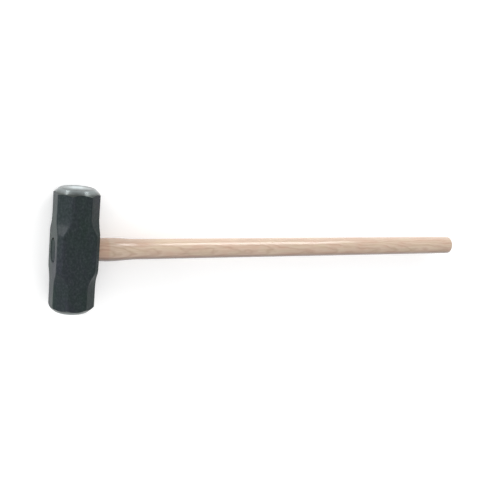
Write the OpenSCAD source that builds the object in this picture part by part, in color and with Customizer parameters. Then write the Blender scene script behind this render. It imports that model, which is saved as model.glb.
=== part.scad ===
// Double-faced sledgehammer, lying on one cheek of its head.
// +X runs along the handle from the head to the grip, +Y along the head from face to face,
// and +Z up out of the upper cheek. The origin is on the surface it lies on, under the head's centre.

/* [Head] */
// Length of the head over both crowned faces
head_length = 225; // [190:1:280]
// Width of the head across its flats
across_flats = 75; // [62:0.5:90]
// Corner cut of the eight-sided ends, measured along a flat
end_corner = 20.7; // [16:0.1:25]
// Corner cut of the square middle, measured along a flat
middle_corner = 8.5; // [3:0.1:11]
// Length of the square middle, between the inner ends of the scoops
middle_length = 69; // [56:1:84]
// Length of one scoop, from the square middle out to the eight-sided end
scoop_run = 29; // [18:0.5:35]

/* [Striking faces] */
// Width of the bevel from the corners of the head in to the crowned face
bevel_width = 10.1; // [5:0.1:14]
// Height of the bevel from the corners of the head up to the crowned face
bevel_height = 9.7; // [5:0.1:15]
// Height of the crown over the edge of the face
crown_rise = 1.8; // [0.8:0.1:4]

/* [Eye] */
// Width of the eye where the wedges are driven in
eye_wedge_width = 31; // [25:0.5:37.5]
// Width of the eye at its waist, half way through the head
eye_waist_width = 25; // [20:0.5:30]
// Width of the eye where the handle enters
eye_handle_width = 27; // [25:0.5:32]
// Extra length of the oval eye over its width
eye_stretch = 13; // [10:0.5:16]
// Clearance between the wood and the wall of the eye
eye_gap = 0.05; // [0.02:0.01:0.2]

/* [Handle] */
// Length from the wedge side of the head to the butt of the handle
overall_length = 900; // [700:1:1080]
// Diameter of the shaft
shaft_d = 38; // [31:0.5:41]
// How far the shoulder covers the head outside the longer way of the eye
shoulder_cover = 0.7; // [0.3:0.1:4]
// Rise of the swell over the shoulder
swell_rise = 0.8; // [0:0.1:3]
// Distance from the head to the widest part of the swell
swell_distance = 24; // [12:1:40]
// Length over which the swell runs down to the shaft
swell_run = 56; // [30:1:120]
// Radius of the eased edge round the butt
butt_edge = 2; // [0.5:0.1:6]
// Depth of the wood's end below the wedge side of the head
end_recess = 1.2; // [0.4:0.1:4]
// How much longer the tenon is than the eye's waist, less than what would fill the eye's mouth
tenon_extra = 1; // [0.2:0.1:4]

/* [Wedges] */
// Depth of the wooden wedge in the eye
wood_wedge_depth = 44; // [30:1:50]
// Thickness of the wooden wedge at its driven end
wood_wedge_thickness = 6; // [3:0.5:8]
// Thickness of the wooden wedge at its tip
wood_wedge_tip = 1.2; // [0.6:0.1:2]
// Depth of the saw kerf past the tip of the wooden wedge
kerf_spare = 6; // [2:1:12]
// Depth of each steel wedge in the wood
steel_wedge_depth = 26; // [15:1:32]
// Wood left between each edge of a steel wedge and the waist of the eye
steel_wedge_margin = 2.5; // [2:0.1:6]
// Thickness of each steel wedge at its driven end
steel_wedge_thickness = 4; // [2:0.5:5]
// Thickness of each steel wedge at its tip
steel_wedge_tip = 1; // [0.5:0.1:1.5]
// Distance between the middles of the two steel wedges
steel_wedge_spacing = 17; // [13:0.5:18]
// Turn of the steel wedges away from straight across the wooden one
steel_wedge_slant = 30; // [0:1:35]
// Clearance round each wedge
wedge_gap = 0.03; // [0.01:0.01:0.1]

/* [Hidden] */
$fn = 96;

half_flats = across_flats / 2;
face_y = head_length / 2;

// Distances from the head's axis to its corner cuts, along a diagonal
end_diagonal = (across_flats - end_corner) / sqrt(2);
middle_diagonal = (across_flats - middle_corner) / sqrt(2);
scoop_depth = middle_diagonal - end_diagonal;
scoop_radius = (scoop_run ^ 2 + scoop_depth ^ 2) / (2 * scoop_depth);
scoop_span = middle_length + 2 * scoop_run;

// Each bevel is a cone through the eight corners of its end, and each crown is part of a ball
corner_radius = norm([half_flats, half_flats - end_corner]);
face_radius = corner_radius - bevel_width;
bevel_slope = bevel_width / bevel_height;
crown_radius = (face_radius ^ 2 + crown_rise ^ 2) / (2 * crown_rise);

// How fast the eye's half-width grows from its waist towards each mouth
wedge_slope = (eye_wedge_width - eye_waist_width) / across_flats;
handle_slope = (eye_handle_width - eye_waist_width) / across_flats;

// The shoulder just covers the eye, and the tenon is cut from a round stick that just passes its waist
shoulder_d = eye_handle_width + eye_stretch + 2 * shoulder_cover;
swell_d = shoulder_d + 2 * swell_rise;
tenon_d = eye_waist_width + eye_stretch + tenon_extra;
steel_wedge_width = eye_waist_width - 2 * steel_wedge_margin;

// Places along the handle
wood_end_x = -half_flats + end_recess;
shoulder_x = half_flats;
swell_x = shoulder_x + swell_distance;
shaft_x = swell_x + swell_run;
butt_x = overall_length - half_flats;

// How far a cutting shape runs past what it cuts
beyond = 2;
// Steps in each eased stretch of the handle's outline
ease_steps = 8;

// Outline of the head in the plane of its axis and one diagonal: wide in the middle,
// falling away in a hollow curve to the corner cuts of the ends
module corner_outline() {
    square([2 * end_diagonal, head_length + beyond], center = true);
    difference() {
        square([2 * middle_diagonal, scoop_span], center = true);
        for (side = [-1, 1], end = [-1, 1])
            translate([side * (end_diagonal + scoop_radius), end * scoop_span / 2])
                circle(r = scoop_radius);
    }
}

// The forged bar: square in the middle, eight-sided at both ends
module head_bar() {
    intersection() {
        cube([across_flats, head_length + beyond, across_flats], center = true);
        rotate([0, 45, 0])
            linear_extrude(2 * across_flats, center = true)
                corner_outline();
        rotate([0, -45, 0])
            linear_extrude(2 * across_flats, center = true)
                corner_outline();
    }
}

// The space inside the bevel and crown that are turned on the face towards +Y
module turned_face() {
    cone_length = 2 * head_length;
    tip_radius = face_radius - crown_rise * bevel_slope;
    intersection() {
        translate([0, face_y, 0])
            rotate([90, 0, 0])
                cylinder(h = cone_length, r1 = tip_radius, r2 = tip_radius + cone_length * bevel_slope);
        translate([0, face_y - crown_radius, 0])
            sphere(r = crown_radius);
    }
}

// An oval that widens along X from its waist: two cones side by side and the block between them
module oval_taper(waist_radius, slope, depth) {
    mouth_radius = waist_radius + slope * depth;
    for (side = [-1, 1])
        translate([0, side * eye_stretch / 2, 0])
            rotate([0, 90, 0])
                cylinder(h = depth, r1 = waist_radius, r2 = mouth_radius);
    rotate([90, 0, 0])
        linear_extrude(eye_stretch, center = true)
            polygon([
                [0, -waist_radius], [depth, -mouth_radius],
                [depth, mouth_radius], [0, waist_radius]
            ]);
}

// The hourglass eye, smaller all round by gap and running on past both sides of the head
module hourglass(gap) {
    waist_radius = eye_waist_width / 2 - gap;
    depth = half_flats + beyond;
    oval_taper(waist_radius, handle_slope, depth);
    mirror([1, 0, 0])
        oval_taper(waist_radius, wedge_slope, depth);
}

// What the tenon and its wooden wedge are shaped from: a round stick, cut to the hourglass
module tenon_blank() {
    intersection() {
        hourglass(eye_gap);
        translate([wood_end_x, 0, 0])
            rotate([0, 90, 0])
                cylinder(h = shoulder_x - wood_end_x + beyond, d = tenon_d);
    }
}

// A wedge driven in along +X, flat in Y and tapering in Z. As a slot, it is larger by the
// clearance all round and open at the wood's end
module wedge(depth, width, thickness, tip, slot) {
    gap = slot ? wedge_gap : 0;
    start_x = slot ? wood_end_x - beyond : wood_end_x;
    tip_x = wood_end_x + depth + gap;
    taper = (thickness - tip) / (2 * depth);
    start = tip / 2 + gap + taper * (tip_x - start_x);
    rotate([90, 0, 0])
        linear_extrude(width + 2 * gap, center = true)
            polygon([
                [start_x, -start], [tip_x, -tip / 2 - gap],
                [tip_x, tip / 2 + gap], [start_x, start]
            ]);
}

// The wooden wedge before it is cut to the eye, or its slot with the end of the saw kerf
module wood_wedge_form(slot) {
    wedge(wood_wedge_depth, eye_wedge_width + eye_stretch, wood_wedge_thickness, wood_wedge_tip, slot);
    if (slot)
        translate([wood_end_x, -across_flats / 2, -wood_wedge_tip / 2])
            cube([wood_wedge_depth + kerf_spare, across_flats, wood_wedge_tip]);
}

// One of the two steel wedges, on the side of the eye towards +Y or -Y, or its slot
module steel_wedge_form(side, slot) {
    translate([0, side * steel_wedge_spacing / 2, 0])
        rotate([90 - steel_wedge_slant, 0, 0])
            wedge(steel_wedge_depth, steel_wedge_width, steel_wedge_thickness, steel_wedge_tip, slot);
}

// The turned stick from the shoulder to the butt, as an outline of radius and place
module stick() {
    ease = function (t) (1 - cos(180 * t)) / 2;
    swell_points = [for (i = [0 : ease_steps])
        [(shoulder_d + (swell_d - shoulder_d) * ease(i / ease_steps)) / 2,
            shoulder_x + swell_distance * i / ease_steps]];
    shaft_points = [for (i = [1 : ease_steps])
        [(swell_d + (shaft_d - swell_d) * ease(i / ease_steps)) / 2,
            swell_x + swell_run * i / ease_steps]];
    butt_points = [for (angle = [0 : 15 : 90])
        [shaft_d / 2 - butt_edge * (1 - cos(angle)), butt_x - butt_edge * (1 - sin(angle))]];
    rotate([0, 90, 0])
        rotate_extrude()
            polygon(concat([[0, shoulder_x]], swell_points, shaft_points, butt_points, [[0, butt_x]]));
}

module head() {
    color([0.2, 0.23, 0.23])
        translate([0, 0, half_flats])
            difference() {
                intersection() {
                    head_bar();
                    turned_face();
                    mirror([0, 1, 0])
                        turned_face();
                }
                hourglass(0);
            }
}

module handle() {
    color([0.84, 0.73, 0.65])
        translate([0, 0, half_flats]) {
            stick();
            difference() {
                tenon_blank();
                wood_wedge_form(true);
                for (side = [-1, 1])
                    steel_wedge_form(side, true);
            }
        }
}

module wooden_wedge() {
    color([0.74, 0.6, 0.48])
        translate([0, 0, half_flats])
            difference() {
                intersection() {
                    wood_wedge_form(false);
                    tenon_blank();
                }
                for (side = [-1, 1])
                    steel_wedge_form(side, true);
            }
}

module steel_wedge(side) {
    color([0.45, 0.47, 0.48])
        translate([0, 0, half_flats])
            steel_wedge_form(side, false);
}

head();
handle();
wooden_wedge();
steel_wedge(1);  // steel_wedge_front
steel_wedge(-1);  // steel_wedge_rear
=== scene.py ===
# %% [markdown]
# # A double-faced sledgehammer
# A sledgehammer is two things that work as one: a heavy forged head, and a long wooden handle that
# is held in the head's eye by wedges. It lies on one cheek of its head. The frame says where every
# piece is, in metres: +X along the handle, +Y along the head, +Z up.

# %% Load the frame
import math

import bmesh
import bpy
from mathutils import Matrix, Vector, noise


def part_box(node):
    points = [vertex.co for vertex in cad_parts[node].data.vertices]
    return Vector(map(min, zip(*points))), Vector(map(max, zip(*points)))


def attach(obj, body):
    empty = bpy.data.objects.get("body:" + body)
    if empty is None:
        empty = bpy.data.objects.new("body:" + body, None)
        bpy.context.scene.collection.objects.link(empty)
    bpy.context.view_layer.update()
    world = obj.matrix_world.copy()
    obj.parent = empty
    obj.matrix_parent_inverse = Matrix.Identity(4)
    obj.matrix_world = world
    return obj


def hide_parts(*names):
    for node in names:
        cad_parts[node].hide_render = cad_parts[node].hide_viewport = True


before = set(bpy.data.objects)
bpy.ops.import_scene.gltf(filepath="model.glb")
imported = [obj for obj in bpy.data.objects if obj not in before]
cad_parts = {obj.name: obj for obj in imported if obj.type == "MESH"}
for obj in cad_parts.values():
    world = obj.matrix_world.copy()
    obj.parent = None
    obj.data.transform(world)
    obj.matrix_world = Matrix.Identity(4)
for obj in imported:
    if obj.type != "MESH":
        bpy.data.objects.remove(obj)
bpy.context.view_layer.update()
MM = 0.001
HAIR = 1e-6  # a thousandth of a millimetre: what is closer than this counts as touching
print("frame pieces:", sorted(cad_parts))

# %% [markdown]
# ## The camera
# The hammer is seen from above its upper cheek, a little from the wedge side and from the bright
# face. From only 1.4 metres away the handle narrows visibly towards its butt, so the place of the
# camera matters as much as its direction. A camera looks along its own -Z with +Y up, so its matrix
# is built from its own three directions.

# %% Place the camera
CAMERA_PLACE = Vector((-0.3475, 0.3396, 1.3197))
CAMERA_AIM = Vector((0.3519, -0.0049, 0.0375))
PICTURE_UP = Vector((-0.12, 1, 0))
CAMERA_LENS = 54.42


def look_from(place, target, up):
    """The matrix of a camera or lamp that looks at the target, with up towards its top."""
    back = (place - target).normalized()
    right = up.cross(back).normalized()
    turn = Matrix((right, back.cross(right), back)).transposed()
    return Matrix.Translation(place) @ turn.to_4x4()


camera = bpy.data.objects.new("camera", bpy.data.cameras.new("camera"))
camera.data.lens = CAMERA_LENS
camera.matrix_world = look_from(CAMERA_PLACE, CAMERA_AIM, PICTURE_UP)
bpy.context.scene.collection.objects.link(camera)
bpy.context.scene.camera = camera
print("camera distance from the head:", round(CAMERA_PLACE.length, 3), "m")

# %% [markdown]
# ## Floor
# The hammer lies on a plain pale floor that shows the object and nothing else. A floor that only
# reflects light turns grey wherever less of it arrives. A little light of its own keeps this one
# white all round, and leaves only a faint soft shadow beside the head.

# %% Lay the floor
FLOOR_SIZE = 9.0
FLOOR_COLOUR = (0.94, 0.94, 0.94)
FLOOR_ROUGHNESS = 0.9
FLOOR_GLOW = 0.24


def plain_material(name, colour, roughness):
    material = bpy.data.materials.new(name)
    material.use_nodes = True
    shader = material.node_tree.nodes["Principled BSDF"]
    shader.inputs["Base Color"].default_value = (*colour, 1)
    shader.inputs["Roughness"].default_value = roughness
    return material


def new_piece(name, bm, *materials):
    """Turns a bmesh into an object in the scene."""
    mesh = bpy.data.meshes.new(name)
    bm.to_mesh(mesh)
    bm.free()
    for material in materials:
        mesh.materials.append(material)
    piece = bpy.data.objects.new(name, mesh)
    bpy.context.scene.collection.objects.link(piece)
    return piece


floor_mesh = bmesh.new()
bmesh.ops.create_grid(floor_mesh, x_segments=2, y_segments=2, size=FLOOR_SIZE / 2)
pale_floor = plain_material("pale floor", FLOOR_COLOUR, FLOOR_ROUGHNESS)
floor_shader = pale_floor.node_tree.nodes["Principled BSDF"]
floor_shader.inputs["Emission Color"].default_value = (1, 1, 1, 1)
floor_shader.inputs["Emission Strength"].default_value = FLOOR_GLOW
floor = new_piece("floor", floor_mesh, pale_floor)
print("floor:", FLOOR_SIZE, "m across")

# %% [markdown]
# ## The room
# Gloss is a picture of the room, so dark paint looks dark only where it mirrors something dim. The
# walls of this room are dimmer than its ceiling, and the light grows evenly in between. A world's
# Generated coordinates are the direction that is looked in, so their Z says how high that is.

# %% Light the room
ROOM_WALLS = 0.42
ROOM_CEILING = 0.86
ROOM_CEILING_FROM = 0.65


def light_room():
    world = bpy.data.worlds.new("room")
    world.use_nodes = True
    nodes = world.node_tree.nodes
    link = world.node_tree.links.new
    split = nodes.new("ShaderNodeSeparateXYZ")
    link(nodes.new("ShaderNodeTexCoord").outputs["Generated"], split.inputs["Vector"])
    strength = nodes.new("ShaderNodeMapRange")
    strength.inputs["From Max"].default_value = ROOM_CEILING_FROM
    strength.inputs["To Min"].default_value = ROOM_WALLS
    strength.inputs["To Max"].default_value = ROOM_CEILING
    link(split.outputs["Z"], strength.inputs["Value"])
    link(strength.outputs["Result"], nodes["Background"].inputs["Strength"])
    nodes["Background"].inputs["Color"].default_value = (1, 1, 1, 1)
    return world


bpy.context.scene.world = light_room()
bpy.context.scene.view_settings.view_transform = "Standard"
print("room: walls", ROOM_WALLS, "and ceiling", ROOM_CEILING)

# %% [markdown]
# ## Soft boxes
# Four soft boxes do the rest. The wedge side light stands low on the wedge side and lights the
# hollows of the forging. The gloss light stands beyond the bright face and draws a line of gloss
# along the lacquer. The small bevel light, lower still, adds a bright streak to the turned bevel.
# The fill light is large and weak, and opens the shadows from the other side.

# %% Hang the soft boxes
LIT_PLACE = Vector((0.3, 0, 0.04))
SOFT_BOXES = [
    # name, place as seen from the lit place, width, height, power
    ("wedge side light", (-2.3, 0.85, 0.62), 0.4, 0.4, 21),
    ("gloss light", (1.07, 1.78, 0.78), 0.9, 1.0, 18),
    ("bevel light", (-1.66, 1.12, 0.2), 0.4, 0.28, 13),
    ("fill light", (0.2, -2.6, 1.1), 3.0, 1.5, 11),
]


def hang_soft_box(name, offset, width, height, power):
    lamp = bpy.data.lights.new(name, "AREA")
    lamp.shape = "RECTANGLE"
    lamp.size = width
    lamp.size_y = height
    lamp.energy = power
    box = bpy.data.objects.new(name, lamp)
    box.matrix_world = look_from(LIT_PLACE + Vector(offset), LIT_PLACE, Vector((0, 0, 1)))
    bpy.context.scene.collection.objects.link(box)


for soft_box in SOFT_BOXES:
    hang_soft_box(*soft_box)
print("lights:", [box[0] for box in SOFT_BOXES])

# %% [markdown]
# ## Sizes
# The sizes of the forging come from the frame where its box gives them. The others repeat the
# design's own values.

# %% Read the sizes
head_low, head_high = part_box("head")
FLATS = head_high.x - head_low.x
HALF_FLATS = FLATS / 2
HEAD_LENGTH = head_high.y - head_low.y
AXIS_Z = (head_low.z + head_high.z) / 2
END_CORNER = 20.7 * MM
MIDDLE_CORNER = 8.5 * MM
MIDDLE_LENGTH = 69 * MM
SCOOP_RUN = 29 * MM
print("head:", round(FLATS / MM, 1), "mm across flats,", round(HEAD_LENGTH / MM, 1), "mm long")

# %% [markdown]
# ## Forging the bar
# The smith starts from a square bar and hammers down the corners of both ends until they are
# eight-sided. Between each end and the square middle that leaves four hollow scoops. Here a box gets
# its long edges bevelled to the eight-sided section, is sliced into rings, and the rings near the
# middle have their corners drawn out again along the flats. That keeps every flat truly flat.

# %% Forge the bar
SPARE = 12 * MM
RING_STEP = 2.5 * MM
SOFTEN_REACH = 4.5 * MM


def corner_cut(y):
    """How far the corners are cut back at y, along a flat: a hollow arc between ends and middle."""
    depth = (END_CORNER - MIDDLE_CORNER) / math.sqrt(2)
    radius = (SCOOP_RUN**2 + depth**2) / (2 * depth)
    inward = min(max(MIDDLE_LENGTH / 2 + SCOOP_RUN - abs(y), 0), SCOOP_RUN)
    return END_CORNER - math.sqrt(2) * (radius - math.sqrt(radius**2 - inward**2))


def soft_corner_cut(y):
    """The same, averaged over a short reach, so that no scoop starts with a hard line."""
    nearby = [corner_cut(y + SOFTEN_REACH * k / 2) for k in range(-2, 3)]
    return sum(nearby) / len(nearby)


def everything(bm):
    return bm.verts[:] + bm.edges[:] + bm.faces[:]


def forge_bar():
    bm = bmesh.new()
    bmesh.ops.create_cube(bm, size=1)
    bar_length = HEAD_LENGTH + 2 * SPARE
    bmesh.ops.scale(bm, vec=(FLATS, bar_length, FLATS), verts=bm.verts)
    long_edges = [e for e in bm.edges if e.calc_length() > 0.99 * bar_length]
    bmesh.ops.bevel(
        bm, geom=long_edges, offset=END_CORNER, offset_type="OFFSET", segments=1,
        profile=0.5, affect="EDGES", material=-1,
    )
    slices = int(bar_length / RING_STEP)
    for i in range(1, slices):
        place = (0, -bar_length / 2 + bar_length * i / slices, 0)
        bmesh.ops.bisect_plane(
            bm, geom=everything(bm), dist=HAIR / 10, plane_co=place, plane_no=(0, 1, 0),
        )
    for vert in bm.verts:
        inner = HALF_FLATS - soft_corner_cut(vert.co.y)
        if abs(abs(vert.co.x) - HALF_FLATS) < HAIR:
            vert.co.z = math.copysign(inner, vert.co.z)
        else:
            vert.co.x = math.copysign(inner, vert.co.x)
    return bm


bar = forge_bar()
print("bar:", len(bar.faces), "faces, in rings", RING_STEP / MM, "mm apart")

# %% [markdown]
# No forged edge is a knife edge, and an edge shows only by the light that its rounding catches. The
# edges that run along the head get a narrow round bevel. The edges round each ring only divide a
# smooth surface, so they are left alone.

# %% Ease the edges
EDGE_SOFTNESS = 1.5 * MM
EASE_SEGMENTS = 4


def soften_long_edges(bm):
    corners = [
        e for e in bm.edges
        if abs(e.verts[0].co.y - e.verts[1].co.y) > RING_STEP / 2
    ]
    bmesh.ops.bevel(
        bm, geom=corners, offset=EDGE_SOFTNESS, offset_type="OFFSET", segments=EASE_SEGMENTS,
        profile=0.5, affect="EDGES", material=-1,
    )


soften_long_edges(bar)
print("bar:", len(bar.faces), "faces after its edges are softened")

# %% [markdown]
# A forged surface is never dead flat: the hammer leaves broad, shallow hollows. The flats are divided
# into small cells, and a smooth noise presses them inward by a few tenths of a millimetre. It only
# ever presses inward, so the head stays inside its true size and lies flat on its cheek.

# %% Hammer the surface
CELLS_ACROSS = 12
FLAT_AT_LEAST = 3 * EDGE_SOFTNESS
BROAD_HOLLOW = 0.35 * MM
BROAD_PITCH = 26 * MM
SMALL_HOLLOW = 0.16 * MM
SMALL_PITCH = 7 * MM


def divide_flats(bm):
    across = [
        e for e in bm.edges
        if abs(e.verts[0].co.y - e.verts[1].co.y) < HAIR and e.calc_length() > FLAT_AT_LEAST
    ]
    bmesh.ops.subdivide_edges(bm, edges=across, cuts=CELLS_ACROSS - 1, use_grid_fill=True)


def hammer_surface(bm):
    bm.normal_update()
    for vert in bm.verts:
        broad = noise.noise(vert.co / BROAD_PITCH)
        small = noise.noise(vert.co / SMALL_PITCH)
        depth = BROAD_HOLLOW * max(broad, 0) + SMALL_HOLLOW * max(small, 0)
        vert.co -= vert.normal * depth


divide_flats(bar)
hammer_surface(bar)
bmesh.ops.translate(bar, vec=(0, 0, AXIS_Z), verts=bar.verts)
print("bar:", len(bar.faces), "faces after hammering")

# %% [markdown]
# ## Finishes
# A finish is a small graph of nodes that ends in a shader. Its patterns start from Object
# coordinates, so they sit in a piece as grain sits in wood, at true size, and need no unwrapping.
# A new finish comes with two short commands: add makes a node and sets its values, and link joins
# two sockets.

# %% Start a finish
def new_finish(name):
    """A new material, with what is needed to build on it: add a node, link, shader, place."""
    material = bpy.data.materials.new(name)
    material.use_nodes = True
    tree = material.node_tree
    shader = tree.nodes["Principled BSDF"]
    place = tree.nodes.new("ShaderNodeTexCoord").outputs["Object"]

    def add(kind, **settings):
        node = tree.nodes.new("ShaderNode" + kind)
        for key, value in settings.items():
            if key in node.bl_rna.properties:
                setattr(node, key, value)
            else:
                node.inputs[key.replace("_", " ")].default_value = value
        return node

    return material, add, tree.links.new, shader, place


print("a finish starts from: Principled BSDF and Object coordinates")

# %% [markdown]
# Most finishes need the same few patterns: a noise, stretched or not, a ramp that turns it into
# colours, one colour multiplied by another, a plain range, and a bump. Each helper adds one or two
# nodes and returns the output that the next one needs.

# %% Lay out the pattern tools
def stretched(add, link, place, scale):
    mapping = add("Mapping")
    mapping.inputs["Scale"].default_value = scale
    link(place, mapping.inputs["Vector"])
    return mapping.outputs["Vector"]


def noise_texture(add, link, place, scale, detail, roughness=0.5):
    texture = add("TexNoise", Scale=scale, Detail=detail, Roughness=roughness)
    link(place, texture.inputs["Vector"])
    return texture.outputs["Fac"]


def stretched_noise(add, link, place, scale, detail, roughness=0.5):
    """A noise with its own number of lumps per metre along each axis."""
    return noise_texture(add, link, stretched(add, link, place, scale), 1.0, detail, roughness)


def colour_ramp(add, link, factor, stops):
    ramp = add("ValToRGB")
    elements = ramp.color_ramp.elements
    while len(elements) < len(stops):
        elements.new(0.5)
    for element, (position, colour) in zip(elements, stops):
        element.position = position
        element.color = (*colour, 1)
    link(factor, ramp.inputs["Fac"])
    return ramp.outputs["Color"]


def multiply(add, link, first, second):
    mixed = add("Mix", data_type="RGBA", blend_type="MULTIPLY")
    mixed.inputs["Factor"].default_value = 1
    link(first, mixed.inputs["A"])
    link(second, mixed.inputs["B"])
    return mixed.outputs["Result"]


def value_range(add, link, value, low, high):
    """Goes from low to high as the value goes from 0 to 1."""
    mapped = add("MapRange", To_Min=low, To_Max=high)
    link(value, mapped.inputs["Value"])
    return mapped.outputs["Result"]


def bump(add, link, shader, height, distance, strength=1.0):
    relief = add("Bump", Strength=strength, Distance=distance)
    link(height, relief.inputs["Height"])
    link(relief.outputs["Normal"], shader.inputs["Normal"])
    return relief


print("pattern tools: noise, ramp, multiply, range and bump")

# %% [markdown]
# ## Paint
# The forging is dipped in dark grey-green paint. Paint over forge scale is never one colour: it is
# thinner on the high spots and pools in the low ones, and its gloss changes with it. A broad noise
# makes those clouds in colour and gloss, a fine one makes flecks, and the finest is the grain of
# the scale, as a bump.

# %% Mix the paint
PAINT_GLOSS = 0.07
CLOUD_LUMPS = (24, 11, 24)
FLECK_LUMPS = (330, 220, 330)
SCALE_LUMPS = 420
SCALE_HEIGHT = 0.25 * MM
CLOUD_COLOURS = [
    (0.36, (0.0225, 0.034, 0.0315)),
    (0.50, (0.025, 0.033, 0.035)),
    (0.64, (0.0285, 0.0325, 0.0405)),
]
FLECK_SHADES = [
    (0.32, (0.75, 0.76, 0.75)),
    (0.52, (1.0, 1.0, 1.0)),
    (0.70, (1.5, 1.4, 1.4)),
]


def paint_colour(add, link, place):
    clouds = stretched_noise(add, link, place, CLOUD_LUMPS, 4, 0.6)
    flecks = stretched_noise(add, link, place, FLECK_LUMPS, 3, 0.6)
    cloud_colour = colour_ramp(add, link, clouds, CLOUD_COLOURS)
    fleck_shade = colour_ramp(add, link, flecks, FLECK_SHADES)
    return clouds, multiply(add, link, cloud_colour, fleck_shade)


def mix_paint(name, glossy, dull):
    material, add, link, shader, place = new_finish(name)
    clouds, colour = paint_colour(add, link, place)
    link(colour, shader.inputs["Base Color"])
    link(value_range(add, link, clouds, glossy, dull), shader.inputs["Roughness"])
    shader.inputs["Specular IOR Level"].default_value = PAINT_GLOSS
    scale_grain = noise_texture(add, link, place, SCALE_LUMPS, 6, 0.62)
    bump(add, link, shader, scale_grain, SCALE_HEIGHT, 0.7)
    return material


dark_paint = mix_paint("dark paint", glossy=0.26, dull=0.42)
end_grain_paint = mix_paint("paint on end grain", glossy=0.6, dull=0.75)
print("mixed:", dark_paint.name, "and", end_grain_paint.name)

# %% [markdown]
# ## Turned faces
# After painting, both ends go in the lathe. The tool leaves a bevel and a slightly crowned face of
# bright steel, with fine round marks about the head's axis. Round grooves spread a highlight along
# the radius, so the face shows a fan of light. Grooves that fine are too small to model: the rings
# of a wave texture make the coarsest, and the shader's anisotropy, with its tangent pointing away
# from the axis, does the rest. The colour also carries a painted highlight in the middle of the face
# and painted shade at its rim and at the corners.

# %% Finish the steel
CORNER_RADIUS = math.hypot(HALF_FLATS, HALF_FLATS - END_CORNER)
GROOVE_SCALE = 330
GROOVE_HEIGHT = 0.04 * MM
SMUDGE_LUMPS = 90
SMUDGE_SHIFT = 0.12
STEEL_ROUGHNESS = (0.24, 0.36)
STEEL_COLOURS_WITH_PAINTED_SHEEN = [
    # from the middle of the face out to the corners of the head: a painted highlight
    # in the middle, painted shade at the rim of the face and at the corners
    (0.26, (0.60, 0.66, 0.67)),
    (0.46, (0.30, 0.335, 0.335)),
    (0.72, (0.11, 0.125, 0.125)),
    (0.83, (0.25, 0.28, 0.28)),
    (0.90, (0.19, 0.21, 0.21)),
    (0.98, (0.08, 0.09, 0.085)),
]


def maths(add, link, operation, first, second=0):
    node = add("Math", operation=operation)
    for value, socket in zip((first, second), node.inputs):
        if isinstance(value, (int, float)):
            socket.default_value = value
        else:
            link(value, socket)
    return node.outputs["Value"]


def moved(add, link, place, by):
    mapping = add("Mapping")
    mapping.inputs["Location"].default_value = by
    link(place, mapping.inputs["Vector"])
    return mapping.outputs["Vector"]


def steel_colour_with_painted_sheen(add, link, outward_way, smudges):
    """Paints a highlight in the middle of the face and shade towards its rim and the corners, with
    smudges that blur the borders.
    """
    radius = add("VectorMath", operation="LENGTH")
    link(outward_way, radius.inputs[0])
    outward = maths(add, link, "DIVIDE", radius.outputs["Value"], CORNER_RADIUS)
    shift = maths(add, link, "MULTIPLY", smudges, SMUDGE_SHIFT)
    return colour_ramp(add, link, maths(add, link, "ADD", outward, shift), STEEL_COLOURS_WITH_PAINTED_SHEEN)


def turned_steel():
    material, add, link, shader, place = new_finish("turned steel")
    from_axis = moved(add, link, place, (0, 0, -AXIS_Z))
    outward_way = stretched(add, link, from_axis, (1, 0, 1))
    smudges = noise_texture(add, link, place, SMUDGE_LUMPS, 4)
    link(steel_colour_with_painted_sheen(add, link, outward_way, smudges), shader.inputs["Base Color"])
    link(value_range(add, link, smudges, *STEEL_ROUGHNESS), shader.inputs["Roughness"])
    shader.inputs["Metallic"].default_value = 1.0
    shader.inputs["Anisotropic"].default_value = 0.9
    link(outward_way, shader.inputs["Tangent"])
    grooves = add(
        "TexWave", wave_type="RINGS", rings_direction="Y", Scale=GROOVE_SCALE, Distortion=0.6,
    )
    link(from_axis, grooves.inputs["Vector"])
    bump(add, link, shader, grooves.outputs["Fac"], GROOVE_HEIGHT, 0.6)
    return material


bright_steel = turned_steel()
print("mixed:", bright_steel.name)

# %% [markdown]
# The lathe's work is a shape of its own: a barrel whose ends carry the bevel and the crown. It is spun
# from an outline, and the forged bar is cut to it with an exact Boolean. Where the cone meets the
# flats the edge comes out scalloped, as it does on the real head, and the new faces bring their own
# bright material with them.

# %% Turn both ends
BEVEL_WIDTH = 10.1 * MM
BEVEL_HEIGHT = 9.7 * MM
CROWN_RISE = 1.8 * MM
FACE_RADIUS = CORNER_RADIUS - BEVEL_WIDTH
CROWN_RADIUS = (FACE_RADIUS**2 + CROWN_RISE**2) / (2 * CROWN_RISE)
BARREL_RADIUS = HALF_FLATS * 1.5
CROWN_RINGS = 8
TURN_STEPS = 144
FACE_EDGE_ROUND = 1.2 * MM
FACE_EDGE_SEGMENTS = 3


def crown_outline():
    """Points of (radius, y) from the middle of the crown, over its edge, down the long bevel."""
    crown_centre = HEAD_LENGTH / 2 - CROWN_RADIUS
    points = []
    for i in range(CROWN_RINGS + 1):
        radius = FACE_RADIUS * i / CROWN_RINGS
        points.append((radius, crown_centre + math.sqrt(CROWN_RADIUS**2 - radius**2)))
    foot = points[-1][1] - (BARREL_RADIUS - FACE_RADIUS) * BEVEL_HEIGHT / BEVEL_WIDTH
    points.append((BARREL_RADIUS, foot))
    return points


def spin_outline(points, axis, steps):
    """Spins a line of points round an axis through the origin, as one closed skin."""
    bm = bmesh.new()
    verts = [bm.verts.new(point) for point in points]
    for a, b in zip(verts, verts[1:]):
        bm.edges.new((a, b))
    bmesh.ops.spin(
        bm, geom=everything(bm), cent=(0, 0, 0), axis=axis, angle=math.tau,
        steps=steps, use_merge=True, use_duplicate=False,
    )
    bmesh.ops.remove_doubles(bm, verts=bm.verts, dist=HAIR / 10)
    bmesh.ops.recalc_face_normals(bm, faces=bm.faces)
    return bm


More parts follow.
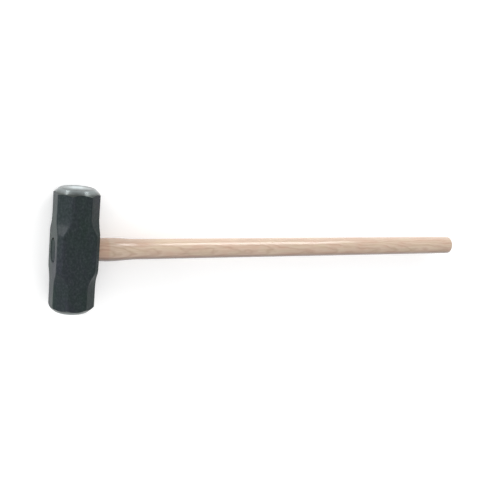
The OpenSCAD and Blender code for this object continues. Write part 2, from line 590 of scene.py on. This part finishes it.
def turned_barrel():
    half = crown_outline()
    outline = [(radius, y, 0) for radius, y in half]
    outline += [(radius, -y, 0) for radius, y in reversed(half)]
    bm = spin_outline(outline, (0, 1, 0), TURN_STEPS)
    face_edge = [
        e for e in bm.edges
        if all(abs(math.hypot(v.co.x, v.co.z) - FACE_RADIUS) < 10 * HAIR for v in e.verts)
    ]
    bmesh.ops.bevel(
        bm, geom=face_edge, offset=FACE_EDGE_ROUND, offset_type="OFFSET", segments=FACE_EDGE_SEGMENTS,
        profile=0.5, affect="EDGES", material=-1,
    )
    bmesh.ops.translate(bm, vec=(0, 0, AXIS_Z), verts=bm.verts)
    return bm


def cut(piece, tool, operation):
    """A Boolean of two pieces, made final. The tool leaves its material on the faces it makes."""
    boolean = piece.modifiers.new("cut", "BOOLEAN")
    boolean.operation = operation
    boolean.object = tool
    boolean.solver = "EXACT"
    boolean.material_mode = "TRANSFER"
    bpy.context.view_layer.update()
    result = piece.evaluated_get(bpy.context.evaluated_depsgraph_get())
    mesh = bpy.data.meshes.new_from_object(result)
    piece.modifiers.clear()
    piece.data = mesh
    bpy.data.objects.remove(tool)


head = new_piece("forged_head", bar, dark_paint)
cut(head, new_piece("barrel", turned_barrel(), bright_steel), "INTERSECT")
print("head:", len(head.data.polygons), "faces,", [m.name for m in head.data.materials])

# %% [markdown]
# ## The eye
# The eye is drifted right through the head: an oval that is narrowest at its waist, so that the
# wedged handle can neither pass through nor pull out. An oval ring is drawn at each station along the
# drift and extruded to the next. At the wedge side it flares a little, for a broken edge.

# %% Drift the eye
EYE_WEDGE_RADIUS = 15.5 * MM
EYE_WAIST_RADIUS = 12.5 * MM
EYE_HANDLE_RADIUS = 13.5 * MM
EYE_STRETCH = 13 * MM
MOUTH_BREAK = 1.0 * MM
OVAL_SEGMENTS = 72


def oval_loft(stations):
    """An oval for each (x, radius), extruded into one closed solid along the handle's axis."""
    bm = bmesh.new()
    bmesh.ops.create_circle(bm, cap_ends=True, segments=OVAL_SEGMENTS, radius=stations[0][1])
    upright = Matrix.Rotation(math.pi / 2, 3, "Y")
    bmesh.ops.rotate(bm, verts=bm.verts, cent=(0, 0, 0), matrix=upright)
    for vert in bm.verts:
        if abs(vert.co.y) > HAIR / 10:
            vert.co.y += math.copysign(EYE_STRETCH / 2, vert.co.y)
        vert.co.x = stations[0][0]
    cap = bm.faces[:][0]
    for (_, old_radius), (x, radius) in zip(stations, stations[1:]):
        extruded = bmesh.ops.extrude_face_region(bm, geom=[cap])["geom"]
        bmesh.ops.delete(bm, geom=[cap], context="FACES_ONLY")
        cap = [item for item in extruded if isinstance(item, bmesh.types.BMFace)][0]
        for vert in cap.verts:
            on_middle = abs(vert.co.y) <= HAIR / 10
            centre = 0 if on_middle else math.copysign(EYE_STRETCH / 2, vert.co.y)
            vert.co.y = centre + (vert.co.y - centre) * radius / old_radius
            vert.co.z *= radius / old_radius
            vert.co.x = x
    open_loop = [e for e in bm.edges if e.is_boundary]
    bmesh.ops.contextual_create(bm, geom=open_loop)
    bmesh.ops.recalc_face_normals(bm, faces=bm.faces)
    bmesh.ops.translate(bm, vec=(0, 0, AXIS_Z), verts=bm.verts)
    return bm


def drift():
    wedge_slope = (EYE_WEDGE_RADIUS - EYE_WAIST_RADIUS) / HALF_FLATS
    flared = EYE_WEDGE_RADIUS + 2 * MOUTH_BREAK
    stations = [
        (-HALF_FLATS - MOUTH_BREAK, flared),
        (-HALF_FLATS + MOUTH_BREAK, EYE_WEDGE_RADIUS - MOUTH_BREAK * wedge_slope),
        (0, EYE_WAIST_RADIUS),
        (HALF_FLATS + MOUTH_BREAK, EYE_HANDLE_RADIUS),
    ]
    return oval_loft(stations)


cut(head, new_piece("drift", drift(), dark_paint), "DIFFERENCE")
print("head with its eye:", len(head.data.polygons), "faces")

# %% [markdown]
# Shading can run smoothly over the small steps of a curve, but a true edge has to stay crisp. Every
# face is set to smooth, and each edge that turns more than a chosen angle is marked sharp. Then the
# head takes its place: it rides on the hammer's only body, and the frame's own head is hidden.

# %% Smooth the head
HEAD_SHARP_ANGLE = 30


def smooth_by_angle(piece, degrees):
    """Smooths a piece but for its sharper edges, and counts those."""
    bm = bmesh.new()
    bm.from_mesh(piece.data)
    bmesh.ops.remove_doubles(bm, verts=bm.verts, dist=HAIR)
    for face in bm.faces:
        face.smooth = True
    for edge in bm.edges:
        edge.smooth = not edge.is_manifold or edge.calc_face_angle() < math.radians(degrees)
    sharp = sum(not edge.smooth for edge in bm.edges)
    bm.to_mesh(piece.data)
    bm.free()
    return sharp


print("sharp edges on the head:", smooth_by_angle(head, HEAD_SHARP_ANGLE))
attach(head, "root")
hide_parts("head")

# %% [markdown]
# ## Hickory
# The handle is sawn from hickory, and the rings of the tree cut its surface at a low angle. Where a
# ring only just grazes the round surface it draws a long pointed arch, which a woodworker calls a
# cathedral. Nothing of that has to be drawn: the material is a block of wood, with its rings in
# space, and the round surface cuts through it. The rings lie almost level, tilt a little along the
# handle, and a slow noise bends them.

# %% Lay out the growth rings
RING_SPACING = 3.2 * MM
RING_TILT = -0.045
RING_BENDS = (13, 26, 26)
BEND_DEPTH = 11 * MM
PITH = Vector((0, 0.012, -0.085))
RING_COLOURS = [
    (0.0, (0.48, 0.358, 0.273)),
    (0.20, (0.55, 0.428, 0.333)),
    (0.70, (0.575, 0.46, 0.362)),
    (1.0, (0.48, 0.358, 0.273)),
]


def coordinates(add, link, place):
    split = add("SeparateXYZ")
    link(place, split.inputs["Vector"])
    return split.outputs


def distance_from_pith(add, link, place):
    """The middle of the tree, its pith, runs beside the handle at a slight tilt."""
    from_pith = moved(add, link, place, (-PITH.x, -PITH.y, -AXIS_Z - PITH.z))
    x, y, z = coordinates(add, link, from_pith)
    up = maths(add, link, "ADD", z, maths(add, link, "MULTIPLY", x, RING_TILT))
    up_squared = maths(add, link, "MULTIPLY", up, up)
    across_squared = maths(add, link, "MULTIPLY", y, y)
    return maths(add, link, "SQRT", maths(add, link, "ADD", across_squared, up_squared))


def growth_rings(add, link, place):
    """Goes from 0 to 1 across each ring and starts again at the next."""
    slow = stretched_noise(add, link, place, RING_BENDS, 3, 0.55)
    bend = maths(add, link, "MULTIPLY", slow, BEND_DEPTH)
    bent = maths(add, link, "ADD", distance_from_pith(add, link, place), bend)
    return maths(add, link, "FRACT", maths(add, link, "DIVIDE", bent, RING_SPACING))


print("growth rings:", RING_SPACING / MM, "mm apart")

# %% [markdown]
# Four more layers darken the rings. Fibres run along the handle and patches vary from place to place.
# Painted shade darkens the side away from the bright face, down to a dark line at its lower edge.
# Next to the head, a painted shadow of the head darkens the wood. Each layer is a ramp of shades that
# is multiplied into the colour so far. The clear lacquer over it all is the shader's coat.

# %% Season the hickory
FIBRES = (12, 900, 900)
FIBRE_HEIGHT = 0.05 * MM
FIBRE_SHADES = [
    (0.30, (0.82, 0.79, 0.77)),
    (0.60, (1.0, 1.0, 1.0)),
]
PATCHES = (22, 90, 90)
PATCH_SHADES = [
    (0.36, (0.97, 0.87, 0.83)),
    (0.50, (1.0, 0.96, 0.93)),
    (0.64, (1.0, 0.99, 0.92)),
]
# Painted shade: the wood darkens towards the side away from the bright face, down to a dark line at
# its lower edge.
UNDERSIDE_SHADE_FROM = -5 * MM
UNDERSIDE_SHADE_TO = -19 * MM
UNDERSIDE_SHADE_RAMP = [
    (0.0, (1.0, 1.0, 1.0)),
    (0.15, (0.96, 0.93, 0.91)),
    (0.30, (0.90, 0.86, 0.84)),
    (0.56, (0.47, 0.40, 0.38)),
    (0.82, (0.26, 0.21, 0.19)),
    (1.0, (0.10, 0.08, 0.07)),
]
# A painted shadow of the head: the wood next to the head is darker, and the edge wanders with the
# patches.
HEAD_SHADOW_FROM = 59 * MM
HEAD_SHADOW_TO = 64 * MM
HEAD_SHADOW_WANDER = 5 * MM
HEAD_SHADOW_SHADES = [
    (0.0, (0.93, 0.82, 0.79)),
    (1.0, (1.0, 1.0, 1.0)),
]


def value_between(add, link, value, start, end):
    """Goes from 0 to 1 as the value goes from start to end."""
    mapped = add("MapRange")
    mapped.inputs["From Min"].default_value = start
    mapped.inputs["From Max"].default_value = end
    link(value, mapped.inputs["Value"])
    return mapped.outputs["Result"]


def wood_colour(add, link, place, fibres):
    patches = stretched_noise(add, link, place, PATCHES, 3)
    x, y, _ = coordinates(add, link, place)
    # painted shade towards the handle's underside
    underside_shade = value_between(add, link, y, UNDERSIDE_SHADE_FROM, UNDERSIDE_SHADE_TO)
    # painted shadow of the head on the wood next to it
    head_shadow_place = maths(add, link, "ADD", x, maths(add, link, "MULTIPLY", patches, HEAD_SHADOW_WANDER))
    past_head_shadow = value_between(add, link, head_shadow_place, HEAD_SHADOW_FROM, HEAD_SHADOW_TO)
    colour = colour_ramp(add, link, growth_rings(add, link, place), RING_COLOURS)
    for factor, shades in (
        (fibres, FIBRE_SHADES),
        (patches, PATCH_SHADES),
        (underside_shade, UNDERSIDE_SHADE_RAMP),
        (past_head_shadow, HEAD_SHADOW_SHADES),
    ):
        colour = multiply(add, link, colour, colour_ramp(add, link, factor, shades))
    return colour


def season_hickory():
    material, add, link, shader, place = new_finish("lacquered hickory")
    fibres = stretched_noise(add, link, place, FIBRES, 3)
    link(wood_colour(add, link, place, fibres), shader.inputs["Base Color"])
    shader.inputs["Roughness"].default_value = 0.5
    shader.inputs["Specular IOR Level"].default_value = 0.25
    shader.inputs["Coat Weight"].default_value = 1.0
    shader.inputs["Coat Roughness"].default_value = 0.12
    bump(add, link, shader, fibres, FIBRE_HEIGHT, 0.5)
    return material


hickory_wood = season_hickory()
print("seasoned:", hickory_wood.name)

# %% [markdown]
# ## Turning the handle
# The stick is turned in a lathe: a shoulder against the head, a low swell just behind it, a long
# straight shaft and an eased butt. Blender turns it the same way: its outline is spun round the
# handle's axis. Rings a short way apart keep the faces of the long shaft from being slivers.

# %% Turn the handle
handle_low, handle_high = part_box("handle")
SHAFT_RADIUS = 19 * MM
SHOULDER_RADIUS = 20.7 * MM
SWELL_RADIUS = (handle_high.z - handle_low.z) / 2
SWELL_X = HALF_FLATS + 24 * MM
SHAFT_X = SWELL_X + 56 * MM
BUTT_EDGE = 2 * MM
BUTT_X = handle_high.x
EASE_STEPS = 12
SHAFT_STEP = 12 * MM
BUTT_EDGE_STEPS = 4
BUTT_RINGS = 4
STICK_STEPS = 96


def eased(start, end):
    """Points of (x, radius) after the start, in a curve that is level at both ends."""
    points = []
    for i in range(1, EASE_STEPS + 1):
        share = i / EASE_STEPS
        lift = (1 - math.cos(math.pi * share)) / 2
        points.append((
            start[0] + (end[0] - start[0]) * share,
            start[1] + (end[1] - start[1]) * lift,
        ))
    return points


def rounded_butt(shaft_end):
    """Points of (x, radius) over the butt's edge and in rings to the middle of its end."""
    points = []
    for i in range(1, BUTT_EDGE_STEPS + 1):
        angle = math.pi / 2 * i / BUTT_EDGE_STEPS
        radius = SHAFT_RADIUS - BUTT_EDGE * (1 - math.cos(angle))
        points.append((shaft_end + BUTT_EDGE * math.sin(angle), radius))
    for i in reversed(range(BUTT_RINGS)):
        points.append((BUTT_X, (SHAFT_RADIUS - BUTT_EDGE) * i / BUTT_RINGS))
    return points


def stick_outline():
    shaft_end = BUTT_X - BUTT_EDGE
    points = [(HALF_FLATS, 0), (HALF_FLATS, SHOULDER_RADIUS)]
    points += eased(points[-1], (SWELL_X, SWELL_RADIUS))
    points += eased(points[-1], (SHAFT_X, SHAFT_RADIUS))
    rings = int((shaft_end - SHAFT_X) / SHAFT_STEP)
    for i in range(1, rings + 1):
        points.append((SHAFT_X + (shaft_end - SHAFT_X) * i / rings, SHAFT_RADIUS))
    return points + rounded_butt(shaft_end)


def turned_about_handle(outline):
    """Spins points of (x, radius) round the handle's axis."""
    bm = spin_outline([(x, radius, 0) for x, radius in outline], (1, 0, 0), STICK_STEPS)
    bmesh.ops.translate(bm, vec=(0, 0, AXIS_Z), verts=bm.verts)
    return bm


handle = new_piece("hickory_handle", turned_about_handle(stick_outline()), hickory_wood)
print("stick:", len(handle.data.polygons), "faces")

# %% [markdown]
# ## Shaving the tenon
# The stick's end is shaved to pass the waist of the eye, and then it fills the eye as far as round
# stock of that size can. So the tenon is an oval loft like the eye's, a little smaller, and cut to
# round stock.

# %% Shave the tenon
WOOD_END_X = handle_low.x
TENON_RADIUS = 19.5 * MM
TENON_OVERLAP = 5 * MM
EYE_GAP = 0.05 * MM


def tenon_loft():
    wedge_slope = (EYE_WEDGE_RADIUS - EYE_WAIST_RADIUS) / HALF_FLATS
    end_radius = EYE_WAIST_RADIUS - wedge_slope * WOOD_END_X
    return oval_loft([
        (WOOD_END_X, end_radius - EYE_GAP),
        (0, EYE_WAIST_RADIUS - EYE_GAP),
        (HALF_FLATS + TENON_OVERLAP, EYE_HANDLE_RADIUS - EYE_GAP),
    ])


def round_stock():
    start = WOOD_END_X - SPARE
    end = HALF_FLATS + SPARE
    return turned_about_handle([(start, 0), (start, TENON_RADIUS), (end, TENON_RADIUS), (end, 0)])


tenon = new_piece("tenon", tenon_loft(), hickory_wood)
cut(tenon, new_piece("stock", round_stock(), hickory_wood), "INTERSECT")
print("tenon:", len(tenon.data.polygons), "faces")

# %% [markdown]
# Each wedge sits in a slot of its own shape, so nothing in the eye runs through anything else. A
# slot is cut with a block that is scaled down at its inner end. The wooden wedge's runs right across
# the tenon. The two for the steel wedges are turned about the handle's axis and stand side by side.

# %% Cut the wedge slots
WEDGE_GAP = 0.06 * MM
WOOD_WEDGE_DEPTH = 44 * MM
WOOD_WEDGE_THICKNESS = 6 * MM
WOOD_WEDGE_TIP = 1.2 * MM
STEEL_WEDGE_DEPTH = 26 * MM
STEEL_WEDGE_WIDTH = 20 * MM
STEEL_WEDGE_THICKNESS = 4 * MM
STEEL_WEDGE_TIP = 1 * MM
STEEL_WEDGE_SPACING = 17 * MM
STEEL_WEDGE_TURN = 60


def tapered_slot(depth, width, thickness, tip):
    """A cutter in the shape of a wedge with its gap, running on past the wood's end."""
    length = depth + SPARE
    open_thickness = tip + (thickness - tip) * length / depth
    bm = bmesh.new()
    bmesh.ops.create_cube(bm, size=1)
    bmesh.ops.scale(bm, vec=(length, width + WEDGE_GAP, open_thickness + WEDGE_GAP), verts=bm.verts)
    narrow = (tip + WEDGE_GAP) / (open_thickness + WEDGE_GAP)
    bmesh.ops.scale(bm, vec=(1, 1, narrow), verts=[v for v in bm.verts if v.co.x > 0])
    bmesh.ops.translate(bm, vec=(WOOD_END_X + depth - length / 2, 0, 0), verts=bm.verts)
    return bm


def wood_wedge_slot():
    bm = tapered_slot(WOOD_WEDGE_DEPTH, 2 * HALF_FLATS, WOOD_WEDGE_THICKNESS, WOOD_WEDGE_TIP)
    bmesh.ops.translate(bm, vec=(0, 0, AXIS_Z), verts=bm.verts)
    return bm


def steel_wedge_slot(side):
    bm = tapered_slot(STEEL_WEDGE_DEPTH, STEEL_WEDGE_WIDTH, STEEL_WEDGE_THICKNESS, STEEL_WEDGE_TIP)
    turn = Matrix.Rotation(math.radians(STEEL_WEDGE_TURN), 3, "X")
    bmesh.ops.rotate(bm, verts=bm.verts, cent=(0, 0, 0), matrix=turn)
    bmesh.ops.translate(bm, vec=(0, side * STEEL_WEDGE_SPACING / 2, AXIS_Z), verts=bm.verts)
    return bm


cut(tenon, new_piece("wood_slot", wood_wedge_slot(), hickory_wood), "DIFFERENCE")
for side in (-1, 1):
    cut(tenon, new_piece("steel_slot", steel_wedge_slot(side), hickory_wood), "DIFFERENCE")
print("slotted tenon:", len(tenon.data.polygons), "faces")

# %% [markdown]
# Tenon and stick are one length of wood, so a union joins them. The eye is painted over once the
# handle is in, so the faces at that end take the paint too.

# %% Join the tenon to the stick
PAINTED_TO = WOOD_END_X + 0.5 * MM
HANDLE_SHARP_ANGLE = 40


def paint_the_end(piece, paint):
    piece.data.materials.append(paint)
    painted = [face for face in piece.data.polygons if face.center.x < PAINTED_TO]
    for face in painted:
        face.material_index = len(piece.data.materials) - 1
    print("painted faces on the tenon:", len(painted))


cut(handle, tenon, "UNION")
paint_the_end(handle, end_grain_paint)
print("sharp edges on the handle:", smooth_by_angle(handle, HANDLE_SHARP_ANGLE))
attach(handle, "root")
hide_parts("handle")
print("handle:", len(handle.data.polygons), "faces")

# %% [markdown]
# ## Wedges
# A hardwood wedge in the saw kerf spreads the tenon one way, and two steel wedges across it spread it
# the other way. They are driven before the eye is painted over, so paint covers their ends as well.
# The frame's own solids have their true shape already. They only need their finishes: bare wood or
# steel below, and paint within half a millimetre of the end.

# %% Finish the wedges
PAINT_FADE = 0.2 * MM
WEDGE_GRAIN = (60, 900, 900)
WEDGE_GRAIN_HEIGHT = 0.1 * MM
DARK_GRAIN = 0.8
HARDWOOD = (0.55, 0.40, 0.28)
BARE_STEEL = (0.42, 0.44, 0.45)


def blended(add, link, share, first, second):
    mixed = add("Mix", data_type="RGBA")
    link(share, mixed.inputs["Factor"])
    link(first, mixed.inputs["A"])
    link(second, mixed.inputs["B"])
    return mixed.outputs["Result"]


def wedge_finish(name, bare_colour, metal):
    """Bare wood or metal below, and paint at the driven end."""
    material, add, link, shader, place = new_finish(name)
    x, _, _ = coordinates(add, link, place)
    painted = value_between(add, link, x, PAINTED_TO + PAINT_FADE, PAINTED_TO)
    grain = stretched_noise(add, link, place, WEDGE_GRAIN, 3)
    dark = [DARK_GRAIN * value for value in bare_colour]
    bare = colour_ramp(add, link, grain, [(0.35, dark), (0.65, bare_colour)])
    _, paint = paint_colour(add, link, place)
    link(blended(add, link, painted, bare, paint), shader.inputs["Base Color"])
    if metal:
        link(value_range(add, link, painted, 1.0, 0.0), shader.inputs["Metallic"])
    shader.inputs["Roughness"].default_value = 0.62
    shader.inputs["Specular IOR Level"].default_value = PAINT_GLOSS
    bump(add, link, shader, grain, WEDGE_GRAIN_HEIGHT, 0.5)
    return material


def finish_wedge(node_name, material):
    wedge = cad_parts[node_name]
    wedge.data.materials.clear()
    wedge.data.materials.append(material)
    print(node_name, "gets", material.name)


driven_steel = wedge_finish("wedge steel", BARE_STEEL, metal=True)
finish_wedge("wooden_wedge", wedge_finish("hardwood wedge", HARDWOOD, metal=False))
finish_wedge("steel_wedge_front", driven_steel)
finish_wedge("steel_wedge_rear", driven_steel)
